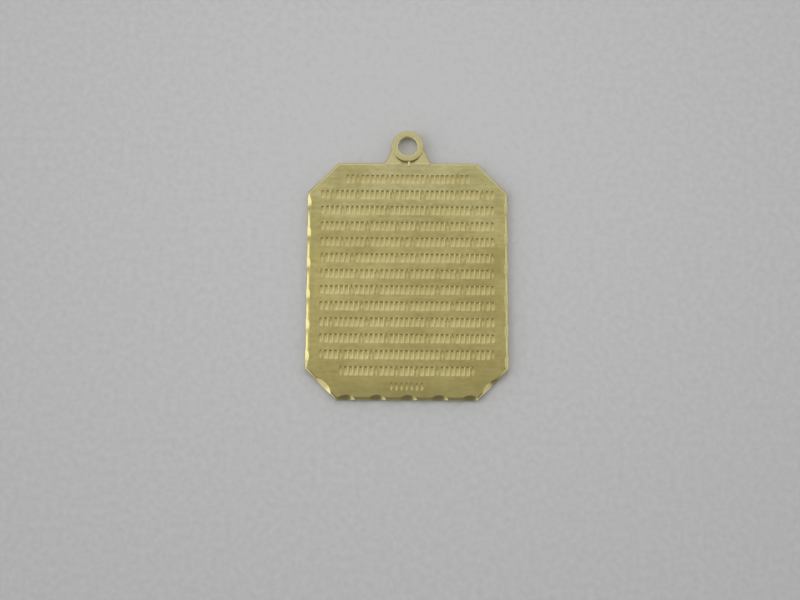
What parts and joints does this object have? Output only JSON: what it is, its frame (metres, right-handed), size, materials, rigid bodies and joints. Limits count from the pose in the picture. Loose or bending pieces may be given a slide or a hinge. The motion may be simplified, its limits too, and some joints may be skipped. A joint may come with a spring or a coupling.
{
  "type": "prayer pendant",
  "caption": "Flat rectangular pendant with cut corners, a scooped rim, rows of small struck ornament on its face and a round eye on a short neck.",
  "frame": {"origin": "middle of the overall outline, on the plane of the back that it lies on", "axes": "+Z out of the struck face, +Y from the plate towards the eye, +X to the right as the face is looked at"},
  "size_m": [0.02, 0.0274, 0.0008],
  "materials": {
    "gold_tone_metal": "satin, softly worn, with bright cuts on the rim"
  },
  "bodies": {
    "root": {"pendant": "gold_tone_metal"}
  },
  "joints": []
}
